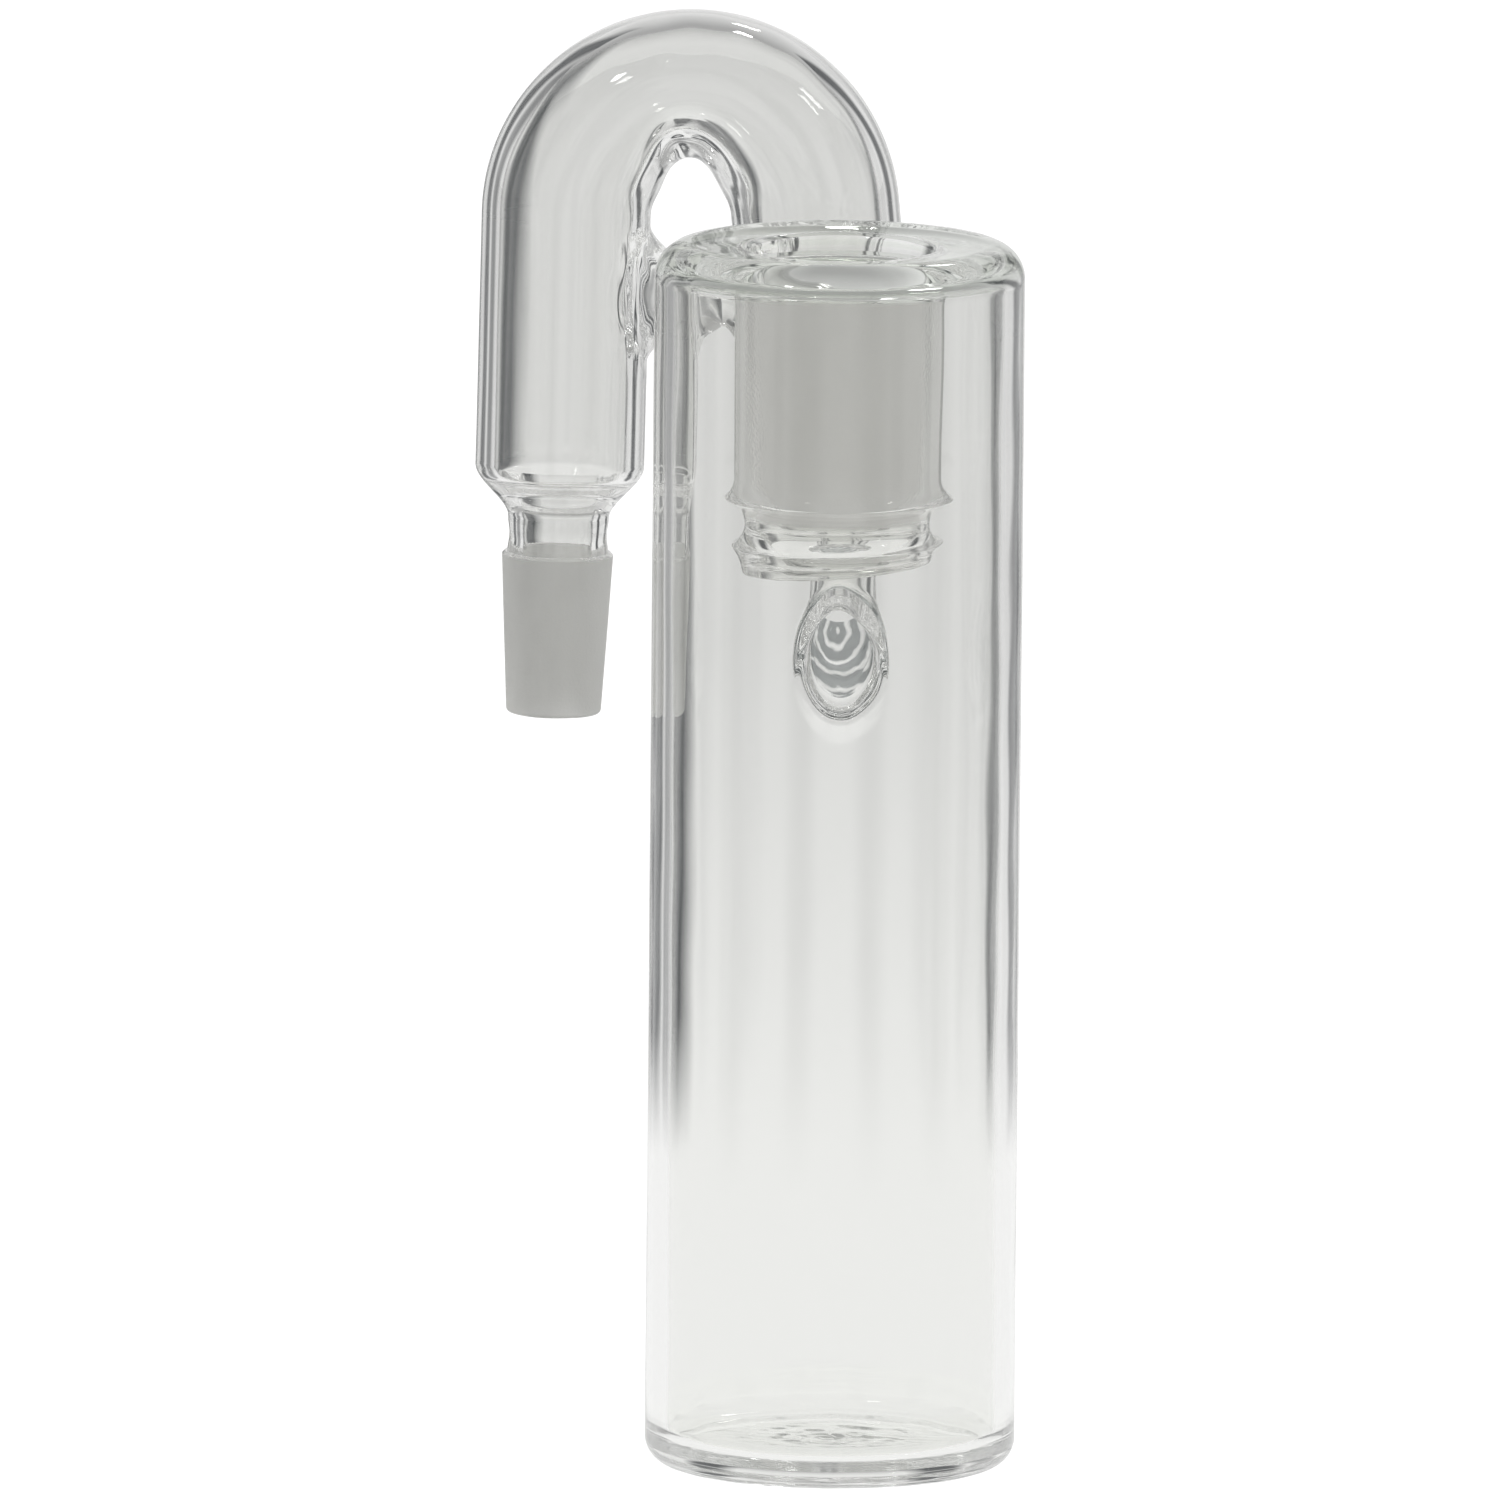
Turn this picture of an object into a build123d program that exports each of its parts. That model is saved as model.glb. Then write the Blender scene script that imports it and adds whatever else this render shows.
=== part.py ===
from build123d import *
import os
from math import acos, atan2, cos, degrees, hypot, pi, radians, sin, sqrt, tan

# A blown borosilicate trap: a flat-bottomed cylinder with a ground socket let into its top, and a
# side arm that leaves its back wall, rises behind it, turns over and comes down to a ground cone.
# Millimetres and degrees. Origin: on the cylinder's axis, on the face it stands on. The cone is on
# the -X side and the arm stands behind the cylinder, on the +Y side.

# Cylinder
body_outer = 48.0
body_wall = 2.7
body_height = 160.0
base_thickness = 3.4
base_corner = 3.5
base_inner_corner = 2.4
base_height = 9.0
top_corner = 4.6
top_thickness = 3.0
top_inner_corner = 1.6
top_height = 11.0
top_dip = 0.6

# Ground socket, 24/29: 24 mm across at the top of the taper
ground_taper = 0.1
socket_bore = 24.0
socket_wall = 1.4
socket_lead_in = 5.5
socket_lip = 0.9
socket_ground_length = 29.0
socket_length = 30.0
ring_overhang = 1.5
ring_flare = 2.6
ring_length = 6.2
waist_inset = 1.5
tail_ring_overhang = 0.35
tail_ring_drop = 2.3
tail_length = 5.4
tail_end_inset = 1.3
tail_skew = 4.5

# Take-off
takeoff_offset = 0.6
takeoff_drop = 57.2
takeoff_slant = 44.0
takeoff_outer = 9.5
takeoff_wall = 1.4
weld_flare = 1.25
weld_bore_flare = 0.85
weld_length = 7.0
elbow_radius = 6.5
elbow_stub = 0.8

# Return-bend arm
arm_clearance = 3.0
leg_outer = 22.0
leg_wall = 2.4
bend_centre_x = -19.4
bend_centre_drop = 2.5
bend_radius = 16.2
crown_flattening = 2.7
crown_sharpness = 6
bend_sections = 9
riser_shoulder_length = 7.0
drop_lean = 1.0
drop_leg_length = 33.0
drop_shoulder_length = 6.9
drop_floor_length = 3.4
neck_inset = 0.7
neck_wall = 2.05
neck_length = 4.5

# Ground cone, size 14: 14.5 mm across at its large end
cone_large_end = 14.5
cone_length = 21.2
cone_top_bevel = 0.35
cone_tip_radius = 0.6

# Bridge between the legs
bridge_drop = 10.1
bridge_weld = 16.8
bridge_waist = 7.8

# Sizes that follow from the ones above
body_radius = body_outer / 2
body_bore_radius = body_radius - body_wall
leg_radius = leg_outer / 2
leg_bore_radius = leg_radius - leg_wall
bend_outer_radius = bend_radius + leg_radius
bend_centre_z = body_height - bend_centre_drop
bridge_height = bend_centre_z - bridge_drop
arm_depth = body_radius + arm_clearance + leg_radius
takeoff_height = body_height - takeoff_drop
takeoff_bore = takeoff_outer - 2 * takeoff_wall
weld_outer = takeoff_outer + 2 * weld_flare
weld_bore = takeoff_bore + 2 * weld_bore_flare
neck_outer = cone_large_end - 2 * neck_inset
neck_bore = neck_outer - 2 * neck_wall
socket_outer = socket_bore + 2 * socket_wall
ring_outer = socket_outer + 2 * ring_overhang
waist_outer = socket_outer - 2 * waist_inset
tail_ring_outer = socket_outer + 2 * tail_ring_overhang
tail_end_outer = socket_outer - 2 * tail_end_inset
mouth_height = body_height - top_dip
taper_top = mouth_height - socket_lead_in
taper_end = taper_top - socket_ground_length
ring_top = mouth_height - socket_length
tail_top = ring_top - ring_length


def turned(edges):
    """A solid turned about local Z from a closed outline of (radius, height)."""
    return revolve(Plane.XZ * make_face(edges), Axis.Z)


def straight_tube(length, outer, bore):
    """A tube along local Z, from 0 to length."""
    upright = (Align.CENTER, Align.CENTER, Align.MIN)
    return Cylinder(outer / 2, length, align=upright) - Cylinder(bore / 2, length, align=upright)


def ogee(start, end):
    """Two equal arcs from start to end, both ends parallel to the axis."""
    across = end[0] - start[0]
    along = end[1] - start[1]
    middle = ((start[0] + end[0]) / 2, (start[1] + end[1]) / 2)
    lift = 1 if along > 0 else -1
    first = TangentArc(start, middle, tangent=(0, lift))
    second = TangentArc(end, middle, tangent=(0, -lift))
    return [first, second] if across else [Line(start, end)]


def reducer(length, outer_a, bore_a, outer_b, bore_b):
    """A reducing tube along local Z, with an S-shaped wall, from size a at 0 to size b."""
    outside = ogee((outer_a / 2, 0), (outer_b / 2, length))
    inside = ogee((bore_b / 2, length), (bore_a / 2, 0))
    far_end = Line((outer_b / 2, length), (bore_b / 2, length))
    near_end = Line((bore_a / 2, 0), (outer_a / 2, 0))
    return turned(outside + [far_end] + inside + [near_end])


def ray(origin, direction):
    """The place of a tube that starts at origin and runs along direction."""
    return Plane(origin=origin, z_dir=direction).location


def socket_bore_radius(height):
    """Radius of the socket's bore at a height: clear above the taper, then 1:10."""
    depth = min(max(taper_top - height, 0), socket_ground_length)
    return (socket_bore - ground_taper * depth) / 2


# Cylinder pieces

def flat_base():
    inner_radius = body_bore_radius
    floor_corner = inner_radius - base_inner_corner
    outline = [
        Line((0, 0), (body_radius - base_corner, 0)),
        TangentArc((body_radius - base_corner, 0), (body_radius, base_corner), tangent=(1, 0)),
        Line((body_radius, base_corner), (body_radius, base_height)),
        Line((body_radius, base_height), (inner_radius, base_height)),
        Line((inner_radius, base_height), (inner_radius, base_thickness + base_inner_corner)),
        TangentArc((inner_radius, base_thickness + base_inner_corner),
                   (floor_corner, base_thickness), tangent=(0, -1)),
        Line((floor_corner, base_thickness), (0, base_thickness)),
        Line((0, base_thickness), (0, 0)),
    ]
    return turned(outline)


def body_tube():
    length = body_height - top_height - base_height
    tube = Pos(0, 0, base_height) * straight_tube(length, body_outer, 2 * body_bore_radius)
    drill = Pos(0, 0, weld_length) * Cylinder(
        weld_bore / 2, weld_length + body_outer / 2, align=(Align.CENTER, Align.CENTER, Align.MAX))
    return tube - takeoff_place() * drill


def top_shoulder():
    seam = body_height - top_height
    flat_edge = body_radius - top_corner
    under = body_height - top_thickness
    inner_corner = body_bore_radius - top_inner_corner
    hole = socket_outer / 2
    outline = [
        Line((body_radius, seam), (body_radius, body_height - top_corner)),
        TangentArc((body_radius, body_height - top_corner), (flat_edge, body_height),
                   tangent=(0, 1)),
        Line((flat_edge, body_height), (hole, mouth_height)),
        Line((hole, mouth_height), (hole, under - top_dip)),
        Line((hole, under - top_dip), (inner_corner, under - top_dip)),
        TangentArc((inner_corner, under - top_dip),
                   (body_bore_radius, under - top_dip - top_inner_corner), tangent=(1, 0)),
        Line((body_bore_radius, under - top_dip - top_inner_corner), (body_bore_radius, seam)),
        Line((body_bore_radius, seam), (body_radius, seam)),
    ]
    return turned(outline)


# Socket pieces

def ground_socket():
    outer = socket_outer / 2
    rim = socket_bore / 2 + socket_lip
    outline = [
        Line((outer, ring_top), (outer, mouth_height)),
        Line((outer, mouth_height), (rim, mouth_height)),
        TangentArc((rim, mouth_height), (socket_bore / 2, mouth_height - socket_lip),
                   tangent=(-1, 0)),
        Line((socket_bore / 2, mouth_height - socket_lip), (socket_bore / 2, taper_top)),
        Line((socket_bore / 2, taper_top), (socket_bore_radius(ring_top), ring_top)),
        Line((socket_bore_radius(ring_top), ring_top), (outer, ring_top)),
    ]
    return turned(outline)


def socket_ring():
    """The sharp pressed ring: a flare out to its edge, then a round groove in to the waist."""
    top = (socket_outer / 2, ring_top)
    edge = (ring_outer / 2, ring_top - ring_flare)
    waist = (waist_outer / 2, tail_top)
    bore_top = (socket_bore_radius(ring_top), ring_top)
    bore_end = (socket_bore_radius(taper_end), taper_end)
    bore_low = (socket_bore_radius(tail_top), tail_top)
    outline = [
        TangentArc(top, edge, tangent=(0, -1)),
        TangentArc(waist, edge, tangent=(0, 1)),
        Line(waist, bore_low),
    ]
    if ring_top > taper_end > tail_top:
        outline += [Line(bore_low, bore_end), Line(bore_end, bore_top)]
    else:
        outline += [Line(bore_low, bore_top)]
    return turned(outline + [Line(bore_top, top)])


def socket_tail():
    """The waist runs out to a second ring and in to the tail, whose end is cut askew."""
    spare = tail_end_outer
    waist = (waist_outer / 2, tail_top)
    edge = (tail_ring_outer / 2, tail_top - tail_ring_drop)
    end = (tail_end_outer / 2, tail_top - tail_length)
    below = (tail_end_outer / 2, tail_top - tail_length - spare)
    bore = socket_bore_radius(tail_top)
    outline = [
        TangentArc(waist, edge, tangent=(0, -1)),
        ThreePointArc(edge, bulge(edge, end), end),
        Line(end, below),
        Line(below, (bore, below[1])),
        Line((bore, below[1]), (bore, tail_top)),
        Line((bore, tail_top), waist),
    ]
    cut = Pos(0, 0, tail_top - tail_length) * Rot(0, -tail_skew, 0) * Box(
        3 * spare, 3 * spare, 3 * spare, align=(Align.CENTER, Align.CENTER, Align.MAX))
    return turned(outline) - cut


def bulge(start, end):
    """A point a little outside the middle of the chord from start to end."""
    across = end[0] - start[0]
    along = end[1] - start[1]
    return (start[0] + across / 2 - along / 8, start[1] + along / 2 + across / 8)


# Places along the take-off and the arm

def takeoff_direction():
    return Vector(0, sin(radians(takeoff_slant)), cos(radians(takeoff_slant)))


def takeoff_root():
    """Where the take-off's axis meets the cylinder's outer face."""
    return Vector(takeoff_offset, sqrt(body_radius ** 2 - takeoff_offset ** 2), takeoff_height)


def takeoff_place():
    return ray(takeoff_root(), takeoff_direction())


def elbow_corner():
    """Where the slanted take-off would meet the riser's axis."""
    root = takeoff_root()
    run = arm_depth - root.Y
    return Vector(takeoff_offset, arm_depth, root.Z + run / tan(radians(takeoff_slant)))


def riser_lean():
    """Degrees that the riser leans so as to run from the elbow into the bend without a kink."""
    corner = elbow_corner()
    across = corner.X - bend_centre_x
    drop = bend_centre_z - corner.Z
    return degrees(acos(bend_radius / hypot(across, drop)) - atan2(drop, across))


def riser_direction():
    lean = radians(riser_lean())
    return Vector(-sin(lean), 0, cos(lean))


def drop_direction():
    lean = radians(drop_lean)
    return Vector(-sin(lean), 0, -cos(lean))


def bend_point(angle, radius):
    """A point in the arm's plane, at an angle above +X round the bend's centre."""
    turn = radians(angle)
    return Vector(bend_centre_x + radius * cos(turn), arm_depth, bend_centre_z + radius * sin(turn))


def elbow_reach():
    """How far the elbow and its stub run up the riser's axis from the elbow's corner."""
    turn = takeoff_direction().get_angle(riser_direction())
    return elbow_radius * tan(radians(turn / 2)) + elbow_stub


def riser_start():
    return elbow_corner() + riser_direction() * elbow_reach()


def leg_start():
    return riser_start() + riser_direction() * riser_shoulder_length


def drop_point(distance):
    """A point on the drop leg's axis, a distance below the bend."""
    return bend_point(180 - drop_lean, bend_radius) + drop_direction() * distance


# Take-off pieces

def takeoff_weld():
    """A collar flared onto the cylinder's round face, open into its bore."""
    inset = body_wall + weld_outer
    level = weld_outer / 4
    outline = [Line((weld_bore / 2, -inset), (weld_outer / 2, -inset)),
               Line((weld_outer / 2, -inset), (weld_outer / 2, level))]
    outline += ogee((weld_outer / 2, level), (takeoff_outer / 2, weld_length))
    outline += [Line((takeoff_outer / 2, weld_length), (takeoff_bore / 2, weld_length))]
    outline += ogee((takeoff_bore / 2, weld_length), (weld_bore / 2, level))
    outline += [Line((weld_bore / 2, level), (weld_bore / 2, -inset))]
    core = Cylinder(body_radius, 4 * body_outer)
    return takeoff_place() * turned(outline) - Pos(0, 0, takeoff_height) * core


def takeoff_tube():
    start = takeoff_root() + takeoff_direction() * weld_length
    path = FilletPolyline(start, elbow_corner(), riser_start(), radius=elbow_radius)
    section = Plane(origin=start, z_dir=takeoff_direction())
    outside = sweep(section * Circle(takeoff_outer / 2), path=path)
    inside = sweep(section * Circle(takeoff_bore / 2), path=path)
    return outside - inside


# Arm pieces

def riser_shoulder():
    piece = reducer(riser_shoulder_length, takeoff_outer, takeoff_bore, leg_outer,
                    2 * leg_bore_radius)
    return ray(riser_start(), riser_direction()) * piece


def riser_leg():
    start = leg_start()
    length = (bend_point(riser_lean(), bend_radius) - start).length
    piece = straight_tube(length, leg_outer, 2 * leg_bore_radius)
    return ray(start, riser_direction()) * piece


def bend_solid(inset):
    """The bend's outer face moved in by inset, as a solid through its turning sections."""
    first = riser_lean()
    last = 180 - drop_lean
    sections = []
    for step in range(bend_sections):
        share = step / (bend_sections - 1)
        angle = first + (last - first) * share
        radial = leg_radius - crown_flattening / 2 * sin(pi * share) ** crown_sharpness
        centre = bend_point(angle, bend_outer_radius - radial)
        outward = Vector(cos(radians(angle)), 0, sin(radians(angle)))
        onward = Vector(-sin(radians(angle)), 0, cos(radians(angle)))
        plane = Plane(origin=centre, x_dir=outward, z_dir=onward)
        sections.append(plane * Ellipse(radial - inset, leg_radius - inset))
    return loft(sections)


def return_bend():
    return bend_solid(0) - bend_solid(leg_wall)


def drop_leg():
    piece = straight_tube(drop_leg_length, leg_outer, 2 * leg_bore_radius)
    return ray(drop_point(0), drop_direction()) * piece


def drop_shoulder():
    """The leg closed in to the neck. The bore closes in sooner, over a thick floor."""
    leg_bore = leg_bore_radius
    outline = ogee((leg_radius, 0), (neck_outer / 2, drop_shoulder_length))
    outline += [
        Line((neck_outer / 2, drop_shoulder_length), (neck_bore / 2, drop_shoulder_length)),
        Line((neck_bore / 2, drop_shoulder_length), (neck_bore / 2, drop_floor_length)),
    ]
    outline += ogee((neck_bore / 2, drop_floor_length), (leg_bore, 0))
    outline += [Line((leg_bore, 0), (leg_radius, 0))]
    return ray(drop_point(drop_leg_length), drop_direction()) * turned(outline)


def cone_neck():
    start = drop_point(drop_leg_length + drop_shoulder_length)
    return ray(start, drop_direction()) * straight_tube(neck_length, neck_outer, neck_bore)


def cone_start():
    return drop_point(drop_leg_length + drop_shoulder_length + neck_length)


def ground_cone():
    """The 1:10 cone, with a small bevel at its large end and a rounded tip."""
    large = cone_large_end / 2
    small = large - ground_taper / 2 * cone_length
    bore = neck_bore / 2
    tip_start = cone_length - cone_tip_radius
    outline = [
        Line((bore, 0), (large - cone_top_bevel, 0)),
        Line((large - cone_top_bevel, 0), (large - ground_taper / 2 * cone_top_bevel,
                                           cone_top_bevel)),
        Line((large - ground_taper / 2 * cone_top_bevel, cone_top_bevel), (small, tip_start)),
        TangentArc((small, tip_start), (small - cone_tip_radius, cone_length), tangent=(0, 1)),
        Line((small - cone_tip_radius, cone_length), (bore, cone_length)),
        Line((bore, cone_length), (bore, 0)),
    ]
    return ray(cone_start(), drop_direction()) * turned(outline)


def leg_bridge():
    """A solid rod drawn in at the middle, its two ends spread onto the legs' round faces."""
    left = drop_point(0) + drop_direction() * (drop_point(0).Z - bridge_height)
    right = leg_start() + riser_direction() * (bridge_height - leg_start().Z)
    span = right.X - left.X
    gap_start = leg_radius
    gap_end = span - leg_radius
    weld = bridge_weld / 2
    outline = [
        Line((0, 0), (weld, 0)),
        Line((weld, 0), (weld, gap_start)),
        ThreePointArc((weld, gap_start), (bridge_waist / 2, span / 2), (weld, gap_end)),
        Line((weld, gap_end), (weld, span)),
        Line((weld, span), (0, span)),
        Line((0, span), (0, 0)),
    ]
    rod = ray(Vector(left.X, arm_depth, bridge_height), Vector(1, 0, 0)) * turned(outline)
    long_enough = 4 * leg_outer
    core = Cylinder(leg_radius, long_enough)
    rod -= ray(left, drop_direction()) * core
    return rod - ray(right, riser_direction()) * core


pieces = {
    "flat_base": flat_base(),
    "body_tube": body_tube(),
    "top_shoulder": top_shoulder(),
    "ground_socket": ground_socket(),
    "socket_ring": socket_ring(),
    "socket_tail": socket_tail(),
    "takeoff_weld": takeoff_weld(),
    "takeoff_tube": takeoff_tube(),
    "riser_shoulder": riser_shoulder(),
    "riser_leg": riser_leg(),
    "return_bend": return_bend(),
    "drop_leg": drop_leg(),
    "drop_shoulder": drop_shoulder(),
    "cone_neck": cone_neck(),
    "ground_cone": ground_cone(),
    "leg_bridge": leg_bridge(),
}

os.makedirs("parts", exist_ok=True)
for name, piece in pieces.items():
    export_step(piece, f"parts/{name}.step")
    print(name, round(piece.volume, 1))
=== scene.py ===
import bpy
import bmesh
import numpy as np
from math import atan2, cos, hypot, pi, radians, sin, sqrt, tan
from mathutils import Matrix, Vector


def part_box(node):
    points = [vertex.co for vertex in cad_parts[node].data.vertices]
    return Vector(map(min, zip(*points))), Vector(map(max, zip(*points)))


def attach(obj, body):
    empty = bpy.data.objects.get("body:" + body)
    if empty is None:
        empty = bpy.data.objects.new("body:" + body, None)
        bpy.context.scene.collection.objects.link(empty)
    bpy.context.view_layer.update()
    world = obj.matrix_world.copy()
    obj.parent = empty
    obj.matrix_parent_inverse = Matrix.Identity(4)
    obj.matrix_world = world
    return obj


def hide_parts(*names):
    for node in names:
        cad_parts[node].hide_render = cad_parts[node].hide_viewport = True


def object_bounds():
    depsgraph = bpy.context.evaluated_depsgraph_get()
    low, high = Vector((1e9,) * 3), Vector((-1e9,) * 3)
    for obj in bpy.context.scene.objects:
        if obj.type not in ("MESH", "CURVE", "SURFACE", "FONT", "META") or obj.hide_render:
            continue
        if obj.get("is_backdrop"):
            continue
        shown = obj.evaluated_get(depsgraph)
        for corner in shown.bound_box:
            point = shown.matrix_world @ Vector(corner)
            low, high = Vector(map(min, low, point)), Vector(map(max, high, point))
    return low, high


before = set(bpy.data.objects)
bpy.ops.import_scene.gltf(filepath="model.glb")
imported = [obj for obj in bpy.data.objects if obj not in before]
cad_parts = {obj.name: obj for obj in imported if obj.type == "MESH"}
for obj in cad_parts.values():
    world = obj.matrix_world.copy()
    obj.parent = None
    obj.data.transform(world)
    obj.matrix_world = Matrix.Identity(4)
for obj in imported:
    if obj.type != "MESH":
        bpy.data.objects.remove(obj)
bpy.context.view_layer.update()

MM = 0.001
TAU = 2 * pi


# ---------------------------------------------------------------- sizes, in millimetres

def node_box(node):
    """Lowest and highest corner of a CAD node, in millimetres."""
    low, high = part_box(node)
    return np.array(low) / MM, np.array(high) / MM


_, base_high = node_box("flat_base")
tube_low, tube_high = node_box("body_tube")
top_low, top_high = node_box("top_shoulder")
socket_low, socket_high = node_box("ground_socket")
ring_low, ring_high = node_box("socket_ring")

BODY_R = (tube_high[0] - tube_low[0]) / 2
BODY_BORE = BODY_R - 2.7
BASE_TOP = base_high[2]
TOP_SEAM = top_low[2]
BODY_TOP = top_high[2]
BASE_THICK = 3.4
BASE_CORNER = 3.5
BASE_IN_CORNER = 2.4
TOP_CORNER = 4.6
TOP_THICK = 3.0
TOP_IN_CORNER = 1.6
TOP_DIP = 0.6
TOP_FILLET = 1.3
RIM_DEPTH = 3.2
RIM_INSET = 1.2
SWIRL_X, SWIRL_Y = 0.8, -0.5
SWIRL_R = 15.5
SWIRL_DEPTH = 0.11
PONTIL_R = 1.6
PONTIL_DEPTH = 0.35

MOUTH = BODY_TOP - TOP_DIP
SOCKET_R = (socket_high[0] - socket_low[0]) / 2
SOCKET_BORE = 12.0
SOCKET_LIP = 0.9
TAPER = 0.05
TAPER_TOP = MOUTH - 5.5
TAPER_LENGTH = 29.0
RING_TOP = socket_low[2]
RING_R = (ring_high[0] - ring_low[0]) / 2
RING_FLARE = 2.6
TAIL_TOP = ring_low[2]
WAIST_R = 11.9
TAIL_RING_R = 13.75
TAIL_RING_DROP = 2.3
TAIL_LENGTH = 5.4
TAIL_END_R = 12.1
TAIL_SKEW = 4.5

TAKEOFF_X = 0.6
TAKEOFF_Z = 102.8
TAKEOFF_SLANT = radians(44.0)
TAKEOFF_R = 4.75
TAKEOFF_BORE = 3.35
WELD_R = 6.0
WELD_BORE = 4.2
WELD_LENGTH = 7.0
WELD_FOOT = 6.9
HOLE_ROUND = 2.1
POCKET = 1.6
DRAW_RINGS = 5.0
DRAW_DEPTH = 0.32
ELBOW_R = 6.5
ELBOW_STUB = 0.8

ARM_Y = 38.0
LEG_R = 11.0
LEG_BORE = 8.6
BEND_X = -19.4
BEND_Z = 157.5
BEND_OUT = 27.2
BEND_R = BEND_OUT - LEG_R
CROWN_FLAT = 2.7
CROWN_SHARP = 6
FOLD_DEPTH = 1.7
APEX_RISE = 0.9
APEX_AT = 0.57
APEX_WIDTH = 0.05
RISER_SHOULDER = 7.0
DROP_LEAN = radians(1.0)
DROP_LENGTH = 33.0
DROP_SHOULDER = 6.9
FLOOR_HOLE = 5.0
NECK_R = 6.55
NECK_BORE = 4.5
NECK_LENGTH = 4.5
NECK_DRAW = 0.22
CONE_R = 7.25
CONE_LENGTH = 21.2
CONE_BEVEL = 0.35
CONE_TIP = 0.6
BRIDGE_Z = 147.4
BRIDGE_FOOT = 8.8
BRIDGE_WAIST = 3.9

# points round each kind of tube
BODY_N, SOCKET_N, LEG_N, CONE_N = 256, 192, 192, 160
WELD_N, BRIDGE_N, TAKEOFF_N = 120, 144, 128

# a crease is sharper than this, and points closer than MERGE metres are one
CREASE = radians(50)
MERGE = 2e-7

# material slots of a piece
CLEAR, SEAL, GROUND = 0, 1, 2


# ---------------------------------------------------------------- materials

GLASS_IOR = 1.473


def new_material(name):
    mat = bpy.data.materials.new(name)
    mat.use_nodes = True
    tree = mat.node_tree
    return mat, tree, tree.nodes["Principled BSDF"]


def set_values(shader, **values):
    for label, value in values.items():
        shader.inputs[label.replace("_", " ")].default_value = value


def new_node(tree, node_type, inputs=(), **settings):
    """A node with these settings, its first inputs linked to sockets or set to numbers."""
    node = tree.nodes.new(node_type)
    for label, value in settings.items():
        setattr(node, label, value)
    for socket, value in zip(node.inputs, inputs):
        if isinstance(value, bpy.types.NodeSocket):
            tree.links.new(value, socket)
        else:
            socket.default_value = value
    return node


def noise_node(tree, scale, detail, stretch=(1, 1, 1)):
    spot = new_node(tree, "ShaderNodeTexCoord")
    mapping = new_node(tree, "ShaderNodeMapping", (spot.outputs["Object"],))
    mapping.inputs["Scale"].default_value = stretch
    noise = new_node(tree, "ShaderNodeTexNoise", (mapping.outputs["Vector"],))
    noise.inputs["Scale"].default_value = scale
    noise.inputs["Detail"].default_value = detail
    return noise


def ramp(tree, source, low, high, at=(0.35, 0.65)):
    node = tree.nodes.new("ShaderNodeMapRange")
    node.inputs["From Min"].default_value = at[0]
    node.inputs["From Max"].default_value = at[1]
    node.inputs["To Min"].default_value = low
    node.inputs["To Max"].default_value = high
    tree.links.new(source, node.inputs["Value"])
    return node.outputs["Result"]


def colour_ramp(tree, source, at, dark, light):
    """Dark below the first place of the source, light above the second."""
    node = new_node(tree, "ShaderNodeValToRGB", (source,))
    for element, position, colour in zip(node.color_ramp.elements, at, (dark, light)):
        element.position = position
        element.color = (*colour, 1)
    return node.outputs["Color"]


def bump(tree, shader, height, strength, distance):
    node = tree.nodes.new("ShaderNodeBump")
    node.inputs["Strength"].default_value = strength
    node.inputs["Distance"].default_value = distance
    tree.links.new(height, node.inputs["Height"])
    tree.links.new(node.outputs["Normal"], shader.inputs["Normal"])


def clear_glass(name, tint):
    """Drawn glass: faint lines along its height and a trace of haze."""
    mat, tree, shader = new_material(name)
    set_values(shader, Base_Color=(*tint, 1), Roughness=0.0, IOR=GLASS_IOR,
               Transmission_Weight=1.0)
    draw = noise_node(tree, 220.0, 2.0, (1, 1, 0.06))
    bump(tree, shader, draw.outputs["Fac"], 0.05, 0.0001)
    haze = noise_node(tree, 60.0, 3.0)
    tree.links.new(ramp(tree, haze.outputs["Fac"], 0.0, 0.02, (0.55, 0.75)),
                   shader.inputs["Roughness"])
    return mat


def seal_glass():
    """The faces inside the glass where two blanks are fused: nothing is seen there."""
    mat, _, shader = new_material("fused_seal")
    set_values(shader, Base_Color=(1, 1, 1, 1), Alpha=0.0, Roughness=1.0)
    return mat


def ground_glass(name, dark, light):
    """Frosted glass: a fine grain, cloudy from dark to light."""
    mat, tree, shader = new_material(name)
    set_values(shader, IOR=GLASS_IOR, Transmission_Weight=0.5)
    cloud = noise_node(tree, 160.0, 4.0, (1, 1, 0.35))
    colour = colour_ramp(tree, cloud.outputs["Fac"], (0.3, 0.75), dark, light)
    tree.links.new(colour, shader.inputs["Base Color"])
    grain = noise_node(tree, 2600.0, 3.0)
    bump(tree, shader, grain.outputs["Fac"], 0.35, 0.0001)
    tree.links.new(ramp(tree, cloud.outputs["Fac"], 0.55, 0.75), shader.inputs["Roughness"])
    return mat


MATERIALS = (clear_glass("drawn_clear_glass", (0.945, 0.947, 0.935)), seal_glass(),
             ground_glass("ground_socket_glass", (0.545, 0.543, 0.523),
                          (0.62, 0.617, 0.597)))
CONE_GLASS = ground_glass("ground_cone_glass", (0.455, 0.455, 0.437), (0.53, 0.53, 0.51))
# the rim's tint: the glass's own green, darkened as painted shade for the rim's corners
RIM_TINT_AND_SHADE_GLASS = clear_glass("rim_tint_and_painted_shade_glass", (0.855, 0.885, 0.835))
BASE_GLASS = clear_glass("pressed_clear_glass", (0.955, 0.96, 0.94))


# ---------------------------------------------------------------- small shape tools

def unit(v):
    """The vector at length 1."""
    v = np.asarray(v, float)
    return v / np.linalg.norm(v)


def place(origin, z_dir, x_dir=(1, 0, 0)):
    """A right-handed frame: its origin and its three axes as rows."""
    z = unit(z_dir)
    x = np.asarray(x_dir, float)
    x = unit(x - z * np.dot(x, z))
    return np.array(origin, float), np.array([x, np.cross(z, x), z])


WORLD = place((0, 0, 0), (0, 0, 1))


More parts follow.
